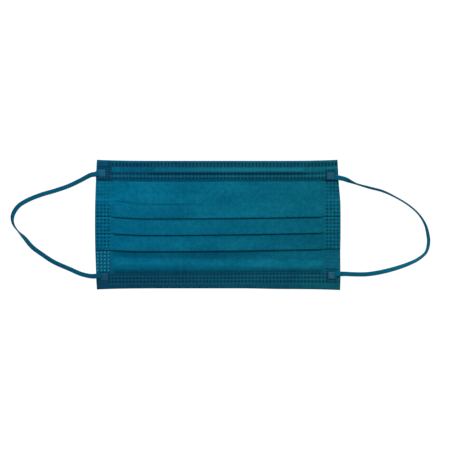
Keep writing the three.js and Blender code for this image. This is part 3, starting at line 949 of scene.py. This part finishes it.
def hem(name, edge, depth, rows, puffs, base_shade):
    line = hem_line(depth)
    if edge > 0:
        line.reverse()
    lengths = cloth_lengths([point[:2] for point in line])
    count = round(MASK_WIDTH / HEM_COLUMN)
    panel = 0 if edge > 0 else PLEATS
    on_panel = CLOTH / 2
    bar_ends = [HALF_WIDTH - WELD_BAND + end for end in BAR_ENDS]

    def place(column, row):
        x = lerp(-HALF_WIDTH, HALF_WIDTH, column / count)
        drop, z, flap = line[row]
        y = edge * (HALF_HEIGHT - drop)
        # painted shade over the whole hem, more at the left than at the right
        painted_hem_shade = base_shade * lerp(*HEM_SHADE_SIDES, column / count)
        fused_and_shade = max(painted_hem_shade, FOLD_FUSED * (1 - ease(drop, *FOLD_RUN)))
        pale = 0
        cut = ease(abs(x), HALF_WIDTH - SIDE_RUN, HALF_WIDTH)
        if flap:
            clear = 1 - ease(abs(x), *bar_ends)
            if edge > 0 and x > 0 and drop < FIRST_ROW_FOOT:
                clear = 1
            horn, pits = horn_press(x, y)
            bar, seam = bar_press(x, drop, rows)
            lift = channel_lift(x, drop) if edge > 0 else 0
            shows = wire_shows(x, drop) if edge > 0 else 0
            # the wire showing through, and a painted highlight on the puffs
            pale = max(shows, HEM_PUFF_HIGHLIGHT * puff_highlight(x, drop, puffs) * clear)
            z += max(lift, ridge(drop, rows) * (1 - horn))
            z -= BAR_DEPTH * bar * clear + HORN_DEPTH * horn + HORN_PIT * pits
            z += undulation(x, y)
            edge_height = panel_height(panel, x, edge * (HALF_HEIGHT - depth)) + on_panel
            z = lerp(z, edge_height, ease(drop, depth - RAW_EDGE_RUN, depth))
            fused_and_shade = max(BAR_FUSED * bar * clear, ROW_FUSED * seam, fused_and_shade)
            fused_and_shade *= 1 - ease(drop, depth - RAW_EDGE_RUN, depth - RAW_EDGE_CLEAR) * (edge > 0)
            fused_and_shade = max(fused_and_shade, lerp(HORN_FUSED * horn, 1, pits))
        z -= SIDE_DROP * cut * z / HEM_MIDDLE
        return (*settle(x, y), z), (x, lengths[row]), fused_and_shade, pale

    piece = bent_grid(name, count, len(line) - 1, place)
    give_thickness(piece, HEM_PLY)
    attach(piece, "root")
    print(name, len(piece.data.polygons), "faces before it gets its thickness")
    return piece


nose_hem = hem("nose_hem_cloth", 1, NOSE_HEM, NOSE_ROWS, NOSE_PUFFS, base_shade=0.0)
# the chin hem gets painted shade all over
chin_hem = hem("chin_hem_cloth", -1, CHIN_HEM, CHIN_ROWS, CHIN_PUFFS, base_shade=0.52)
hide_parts("top_hem")
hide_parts("bottom_hem")

# %% [markdown]
# ## The melted ends of the bands
#
# A square knurled tool presses each end of a band until it melts and spreads on the hem. What is left is
# a thin square pad, greyer and smoother than the cloth, clear at one corner and burnt at another, with
# the knurl's small pyramids in its face. The pad is a grid with the knurl in its heights, and its rim is
# drawn down to the hem.

# %% The pads
PAD_CELLS = 52
KNURL_PITCH = 1.5 * MM  # the real knurl is near 0.8 mm, too fine for this picture
KNURL_DEPTH = 0.14 * MM
PAD_ROUND = 0.16  # the width of the rounded rim, as a share of half the pad
PAD_BOW = 0.06  # how far the corners are drawn in, as a share of half the pad
PAD_TOP = 2.35 * MM
PAD_FOOT = 1.4 * MM
RIM_DROP = 0.5  # how far down to the foot the rim is drawn

# How clear the melt is, from 0 for burnt, and how sharp the knurl is in it, in its heights and in the painted
# shade of its grooves.
PAD_MELTS = {
    "top_left": (1.0, 1.0),
    "top_right": (0.35, 1.0),
    "bottom_left": (0.4, 1.45),
    "bottom_right": (0.1, 0.6),
}


def pad(name):
    centre = weld_centre(name)
    clear, sharp = PAD_MELTS[name]

    def place(column, row):
        u = (column / PAD_CELLS - 0.5) * 2
        v = (row / PAD_CELLS - 0.5) * 2
        bow = 1 - PAD_BOW * (u * u + v * v) / 2
        x, y = u * PAD_SIZE / 2 * bow, v * PAD_SIZE / 2 * bow
        rim = ease(max(abs(u), abs(v)), 1 - PAD_ROUND, 1)
        waves = sum(abs(math.sin(math.pi * way / KNURL_PITCH)) for way in (x + y, x - y))
        knurl = sharp * waves * (1 - rim)
        z = PAD_TOP - KNURL_DEPTH * knurl - (PAD_TOP - PAD_FOOT) * rim * RIM_DROP
        # the knurl's grooves get painted shade through the first mark
        return (centre[0] + x, centre[1] + y, z), (x, y), min(1, knurl / 2), clear

    piece = bent_grid(f"pad_{name}", PAD_CELLS, PAD_CELLS, place)
    bm = bmesh.new()
    bm.from_mesh(piece.data)
    rim_edges = [edge for edge in bm.edges if edge.is_boundary]
    skirt = bmesh.ops.extrude_edge_only(bm, edges=rim_edges)["geom"]
    for vert in skirt:
        if isinstance(vert, bmesh.types.BMVert):
            vert.co.z = PAD_FOOT
    bmesh.ops.holes_fill(bm, edges=[edge for edge in bm.edges if edge.is_boundary], sides=0)
    bmesh.ops.recalc_face_normals(bm, faces=bm.faces)
    bm.to_mesh(piece.data)
    bm.free()
    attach(piece, "root")
    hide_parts(f"weld_pad_{name}")
    return piece


pads = [pad(name) for name in WELDS]
print(len(pads), "pads")

# %% [markdown]
# ## Finishes
#
# Colours are written as sRGB hex values, as a colour picker shows them, and turned to the linear values
# that a shader works in. One small function adds a node, sets it and links it.

# %% Helpers for materials
def colour(hex_value):
    parts = [int(hex_value[i : i + 2], 16) / 255 for i in (1, 3, 5)]
    linear = [p / 12.92 if p <= 0.04045 else ((p + 0.055) / 1.055) ** 2.4 for p in parts]
    return (*linear, 1)


def add(tree, kind, inputs=None, **settings):
    """A node with its settings, and each input set to a value or linked to another node's output."""
    node = tree.nodes.new(kind)
    for key, value in settings.items():
        setattr(node, key, value)
    for key, value in (inputs or {}).items():
        if isinstance(value, bpy.types.NodeSocket):
            tree.links.new(value, node.inputs[key])
        else:
            node.inputs[key].default_value = value
    return node


def new_material(name):
    material = bpy.data.materials.new(name)
    material.use_nodes = True
    material.node_tree.nodes.clear()
    return material, material.node_tree


def finish_material(tree, surface):
    """One Principled shader with these inputs gives the surface."""
    shader = add(tree, "ShaderNodeBsdfPrincipled", surface)
    add(tree, "ShaderNodeOutputMaterial", {"Surface": shader.outputs[0]})


print("#046f90 in linear values:", [round(value, 3) for value in colour("#046f90")[:3]])

# %% [markdown]
# Spunbond polypropylene is a felt of fine endless fibres, held together by a lattice of tiny bond points that
# a hot roller has melted. The fibres make it matte and cloudy, because they never lie evenly. The bond points
# are small, smooth and darker. Where a weld has fused all the plies the cloth is darker still and smoother,
# and painted shade is drawn with the same darker colour and smoothness. Where something pale lies close under
# a thin film it is lighter, and painted highlight is drawn with the same lighter colour. The light a fibre
# reflects has passed through other fibres, so even the sheen is teal.

# %% Spunbond polypropylene
BOND_PITCH = 1.9 * MM  # the real lattice is near 1 mm, too fine for this picture, so it is drawn coarser
BOND_DOT = 0.3  # radius of a bond point, as a share of the way to the next one
BOND_FADE = (0.5, 1.4)  # it dies out between these shares of its radius
BOND_DENT = -0.6
CLOUD_SIZE = 16 * MM
CLOUD_SWING = 0.17
CLOUD_STRETCH = (0.6, 1.0, 1.0)
CLOUD_PLACE = (0.213, 0.159, 0.111)  # the part of the noise whose patches suit the photograph best
DRIFT = (0.35, 1.65)  # from the left's colour to the right's, with the clouds added
BUMP_HEIGHT = 0.09 * MM
TEAL_GLINT = "#2fb4d8"
TEAL_SHEEN = "#0f9fc8"

# Soft spots and fibres, each with its size and how far it swings the tone. A fibre is 0.02 mm thick, too
# fine for this picture, so tufts of them are drawn.
MOTTLES = ((3.2 * MM, 0.13), (0.6 * MM, 0.22))

# Settings of a Mix node for colours. Its inputs 6 and 7 are the two colours and its output 2 is the result.
MIX = {"data_type": "RGBA"}
MULTIPLY = {"data_type": "RGBA", "blend_type": "MULTIPLY"}


def uneven(tree, vector, size, swing):
    """A noise of this size as a factor from 1 - swing to 1 + swing."""
    grain = add(tree, "ShaderNodeTexNoise", {"Vector": vector, "Scale": 1 / size, "Detail": 2.0}).outputs[0]
    ends = {"Value": grain, "From Min": 0.3, "From Max": 0.7, "To Min": 1 - swing, "To Max": 1 + swing}
    return grain, add(tree, "ShaderNodeMapRange", ends).outputs[0]


def spunbond(name, left, right, bonded, pressed, film):
    material, tree = new_material(name)
    uv = add(tree, "ShaderNodeUVMap", uv_map="flat").outputs[0]
    across = add(tree, "ShaderNodeSeparateXYZ", {"Vector": uv}).outputs[0]
    sides = {"Value": across, "From Min": -HALF_WIDTH, "From Max": HALF_WIDTH}
    side = add(tree, "ShaderNodeMapRange", sides).outputs[0]
    lying = {"Vector": uv, "Location": CLOUD_PLACE, "Scale": CLOUD_STRETCH}
    stretched = add(tree, "ShaderNodeMapping", lying).outputs[0]
    cloud, factor = uneven(tree, stretched, CLOUD_SIZE, CLOUD_SWING)
    drift = add(tree, "ShaderNodeMath", {0: side, 1: cloud}, operation="ADD").outputs[0]
    drifting = {"Value": drift, "From Min": DRIFT[0], "From Max": DRIFT[1]}
    blend = add(tree, "ShaderNodeMapRange", drifting).outputs[0]
    cloth = add(tree, "ShaderNodeMix", {0: blend, 6: colour(left), 7: colour(right)}, **MIX).outputs[2]
    cloth = add(tree, "ShaderNodeMix", {0: 1.0, 6: cloth, 7: factor}, **MULTIPLY).outputs[2]
    for size, swing in MOTTLES:
        fibre, factor = uneven(tree, uv, size, swing)
        cloth = add(tree, "ShaderNodeMix", {0: 1.0, 6: cloth, 7: factor}, **MULTIPLY).outputs[2]

    turned = add(tree, "ShaderNodeMapping", {"Vector": uv, "Rotation": (0, 0, math.radians(45))}).outputs[0]
    lattice = {"Vector": turned, "Scale": math.sqrt(2) / BOND_PITCH, "Randomness": 0.0}
    bonds = add(tree, "ShaderNodeTexVoronoi", lattice).outputs["Distance"]
    near, far = (BOND_DOT * share for share in BOND_FADE)
    fades = {"Value": bonds, "From Min": near, "From Max": far, "To Min": 1.0, "To Max": 0.0}
    bond = add(tree, "ShaderNodeMapRange", fades).outputs[0]
    darker = add(tree, "ShaderNodeMix", {0: 1.0, 6: cloth, 7: colour(bonded)}, **MULTIPLY).outputs[2]
    cloth = add(tree, "ShaderNodeMix", {0: bond, 6: cloth, 7: darker}, **MIX).outputs[2]
    # welds, and painted shade, mix the cloth towards the pressed colour
    fused_and_shade = add(tree, "ShaderNodeAttribute", attribute_name="fused_and_shade").outputs["Fac"]
    cloth = add(tree, "ShaderNodeMix", {0: fused_and_shade, 6: cloth, 7: colour(pressed)}, **MIX).outputs[2]
    # pale things under the cloth, and painted highlight, mix it towards the film colour
    pale = add(tree, "ShaderNodeAttribute", attribute_name="pale").outputs["Fac"]
    cloth = add(tree, "ShaderNodeMix", {0: pale, 6: cloth, 7: colour(film)}, **MIX).outputs[2]

    smooth = {"Value": fused_and_shade, "To Min": 0.95, "To Max": 0.6}
    roughness = add(tree, "ShaderNodeMapRange", smooth).outputs[0]
    dent = add(tree, "ShaderNodeMath", {0: bond, 1: BOND_DENT}, operation="MULTIPLY").outputs[0]
    relief = add(tree, "ShaderNodeMath", {0: fibre, 1: dent}, operation="ADD").outputs[0]
    bumps = {"Height": relief, "Distance": BUMP_HEIGHT, "Strength": 0.6}
    surface = {
        "Base Color": cloth,
        "Roughness": roughness,
        "IOR": 1.49,
        "Specular IOR Level": 0.06,
        "Specular Tint": colour(TEAL_GLINT),
        "Sheen Weight": 0.03,
        "Sheen Roughness": 0.5,
        "Sheen Tint": colour(TEAL_SHEEN),
        "Normal": add(tree, "ShaderNodeBump", bumps).outputs[0],
    }
    finish_material(tree, surface)
    return material


# pressed is the colour of fused cloth and of painted shade; film is the pale colour, which also draws painted
# highlight
outer_cloth = spunbond(
    "spunbond polypropylene",
    left="#046f90",
    right="#0f6676",
    bonded="#98b0be",
    pressed="#062e46",
    film="#2789a6",
)
hem_cloth = spunbond(
    "spunbond polypropylene, inner ply",
    left="#085f80",
    right="#106470",
    bonded="#98b0be",
    pressed="#0e2e44",
    film="#1a7888",
)
panel_cloth.data.materials.append(outer_cloth)
for piece in (nose_hem, chin_hem):
    piece.data.materials.append(hem_cloth)
print("cloth:", outer_cloth.name, "and", hem_cloth.name)

# %% [markdown]
# The bands are knitted from textured nylon round elastane. Seen close they have fine ribs along the band and
# a stitch about every half millimetre, with painted shade between the stitches. The yarn is matte, much like
# the cloth in tone. The left band has painted shade: its yarn is a shade darker than the right's. Their
# melted ends are the same nylon as a solid film: greyer and smoother, with painted shade in the knurl's
# grooves.

# %% Knitted nylon and melted nylon
STITCH = 0.6 * MM
WALE_SHARE = 1 / (2 * BAND_WALES)  # of the way round the band
STITCH_HEIGHT = 0.06 * MM
FUZZ_SIZE = 2.9  # in stitches
FUZZ_SWING = 0.12
SPECK_SIZE = 0.8 * MM
SPECK_SWING = 0.2
SPECK_HEIGHT = 0.05 * MM
NYLON_IOR = 1.53


def knitted_nylon(name, yarn, groove_shade):
    material, tree = new_material(name)
    uv = add(tree, "ShaderNodeUVMap", uv_map="flat").outputs[0]
    scaled = {"Vector": uv, "Scale": (1 / STITCH, 1 / WALE_SHARE, 1.0)}
    stitched = add(tree, "ShaderNodeMapping", scaled).outputs[0]
    stitches = add(
        tree,
        "ShaderNodeTexWave",
        {"Vector": stitched, "Scale": 0.32, "Distortion": 1.5, "Detail": 1.0},
        bands_direction="DIAGONAL",
    ).outputs["Fac"]
    depth = {"Value": stitches, "To Min": 0.25, "To Max": 0.9}
    shade = add(tree, "ShaderNodeMapRange", depth).outputs[0]
    # painted shade between the stitches
    knit = add(tree, "ShaderNodeMix", {0: shade, 6: colour(groove_shade), 7: colour(yarn)}, **MIX).outputs[2]
    factor = uneven(tree, stitched, FUZZ_SIZE, FUZZ_SWING)[1]
    knit = add(tree, "ShaderNodeMix", {0: 1.0, 6: knit, 7: factor}, **MULTIPLY).outputs[2]
    bumps = {"Height": stitches, "Distance": STITCH_HEIGHT, "Strength": 0.6}
    surface = {
        "Base Color": knit,
        "Roughness": 0.85,
        "IOR": NYLON_IOR,
        "Specular IOR Level": 0.06,
        "Specular Tint": colour(TEAL_GLINT),
        "Sheen Weight": 0.05,
        "Sheen Tint": colour(TEAL_SHEEN),
        "Normal": add(tree, "ShaderNodeBump", bumps).outputs[0],
    }
    finish_material(tree, surface)
    return material


def melted_nylon(name, clear, burnt, groove_shade):
    material, tree = new_material(name)
    knurl = add(tree, "ShaderNodeAttribute", attribute_name="fused_and_shade").outputs["Fac"]
    clearness = add(tree, "ShaderNodeAttribute", attribute_name="pale").outputs["Fac"]
    place = add(tree, "ShaderNodeTexCoord").outputs["Object"]
    tint = add(tree, "ShaderNodeMix", {0: clearness, 6: colour(burnt), 7: colour(clear)}, **MIX).outputs[2]
    # painted shade in the knurl's grooves
    tint = add(tree, "ShaderNodeMix", {0: knurl, 6: tint, 7: colour(groove_shade)}, **MIX).outputs[2]
    specks, factor = uneven(tree, place, SPECK_SIZE, SPECK_SWING)
    tint = add(tree, "ShaderNodeMix", {0: 1.0, 6: tint, 7: factor}, **MULTIPLY).outputs[2]
    bumps = {"Height": specks, "Distance": SPECK_HEIGHT, "Strength": 0.5}
    surface = {
        "Base Color": tint,
        "Roughness": 0.5,
        "IOR": NYLON_IOR,
        "Specular IOR Level": 0.1,
        "Normal": add(tree, "ShaderNodeBump", bumps).outputs[0],
    }
    finish_material(tree, surface)
    return material


elastic = {
    # painted shade: the left band's yarn is drawn darker than the right's
    "left": knitted_nylon("knitted nylon and elastane, with painted shade", yarn="#0a5c7a", groove_shade="#083c54"),
    "right": knitted_nylon("knitted nylon and elastane", yarn="#0b6680", groove_shade="#08425a"),
}
melted = melted_nylon("melted nylon", clear="#0e769c", burnt="#286274", groove_shade="#123e58")
for side, piece in bands.items():
    piece.data.materials.append(elastic[side])
for piece in pads:
    piece.data.materials.append(melted)
print("nylon:", elastic["left"].name + ",", elastic["right"].name, "and", melted.name)

# %% [markdown]
# The nose wire is a soft steel wire in a flat polyethylene strip. It lies under the hem, so only the
# light that gets in at an open seam would show it, but it still gets its own finish: white, waxy and
# drawn lengthwise.

# %% Polyethylene
STREAK = (20 * MM, 0.4 * MM, 0.4 * MM)
STREAK_HEIGHT = 0.03 * MM
GLOW_DEPTH = 1 * MM  # how far light gets in


def polyethylene(name, white, shade):
    material, tree = new_material(name)
    place = add(tree, "ShaderNodeTexCoord").outputs["Object"]
    drawn = {"Vector": place, "Scale": tuple(1 / size for size in STREAK)}
    lines = add(tree, "ShaderNodeMapping", drawn).outputs[0]
    streaks = add(tree, "ShaderNodeTexNoise", {"Vector": lines, "Scale": 1.0, "Detail": 2.0}).outputs[0]
    tint = add(tree, "ShaderNodeMix", {0: streaks, 6: colour(shade), 7: colour(white)}, **MIX).outputs[2]
    bumps = {"Height": streaks, "Distance": STREAK_HEIGHT, "Strength": 0.5}
    surface = {
        "Base Color": tint,
        "Roughness": 0.45,
        "IOR": 1.51,
        "Subsurface Weight": 0.2,
        "Subsurface Radius": (GLOW_DEPTH, GLOW_DEPTH, GLOW_DEPTH),
        "Normal": add(tree, "ShaderNodeBump", bumps).outputs[0],
    }
    finish_material(tree, surface)
    return material


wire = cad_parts["nose_wire"]
wire.data.materials.clear()
wire.data.materials.append(polyethylene("polyethylene-coated wire", white="#e6e6e0", shade="#c9c9c2"))
print("wire:", wire.data.materials[0].name)

# %% [markdown]
# ## Floor and light
#
# The photograph is a product shot on white, with no shadow on the floor. So the mask lies on a frosted
# acrylic light table.

# %% Floor
FLOOR_SIZE = 3.0
FLOOR_GLOW = 0.98  # a hair under white


def floor():
    bm = bmesh.new()
    bmesh.ops.create_grid(bm, x_segments=1, y_segments=1, size=FLOOR_SIZE)
    mesh = bpy.data.meshes.new("floor")
    bm.to_mesh(mesh)
    bm.free()
    piece = bpy.data.objects.new("floor", mesh)
    bpy.context.collection.objects.link(piece)
    material, tree = new_material("frosted acrylic, lit from below")
    surface = {
        "Base Color": colour("#626260"),
        "Roughness": 0.9,
        "Specular IOR Level": 0.0,
        "Emission Color": colour("#ffffff"),
        "Emission Strength": FLOOR_GLOW,
    }
    finish_material(tree, surface)
    mesh.materials.append(material)
    return piece


floor()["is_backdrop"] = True
print("the floor glows at", FLOOR_GLOW, "of white")

# %% [markdown]
# A large soft lamp beyond the nose edge, which is the top of the picture, leaves each slope that faces
# the chin darker, and an even light from all round fills the rest.

# %% Light
LAMP_PLACE = (0, 0.9, 0.95)
LAMP_SIZE = 0.5
LAMP_POWER = 15
FILL = 0.36


def soft_lamp(name, place, size, power):
    lamp = bpy.data.lights.new(name, "AREA")
    lamp.shape = "DISK"
    lamp.size = size
    lamp.energy = power
    lamp_object = bpy.data.objects.new(name, lamp)
    bpy.context.collection.objects.link(lamp_object)
    lamp_object.location = place
    lamp_object.rotation_euler = (-Vector(place)).to_track_quat("-Z", "Y").to_euler()
    lamp_object.visible_camera = False


soft_lamp("lamp_beyond_the_nose_edge", LAMP_PLACE, LAMP_SIZE, LAMP_POWER)
world = bpy.data.worlds.new("even_studio_light")
world.use_nodes = True
world.node_tree.nodes["Background"].inputs["Color"].default_value = colour("#f6f9ff")
world.node_tree.nodes["Background"].inputs["Strength"].default_value = FILL
bpy.context.scene.world = world
bpy.context.scene.view_settings.view_transform = "Standard"
print(f"one lamp of {LAMP_POWER} W, {Vector(LAMP_PLACE).length:.1f} m away, and a fill of {FILL}")

# %% [markdown]
# ## Sizes
#
# Both boxes, the CAD model's and the dressed mask's, are printed.

# %% Print the sizes
cloth_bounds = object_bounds()
boxes = {"cad": [list(corner) for corner in cad_bounds], "scene": [list(corner) for corner in cloth_bounds]}
for name, (low, high) in boxes.items():
    print(name, "box:", [round((b - a) / MM, 1) for a, b in zip(low, high)], "mm")
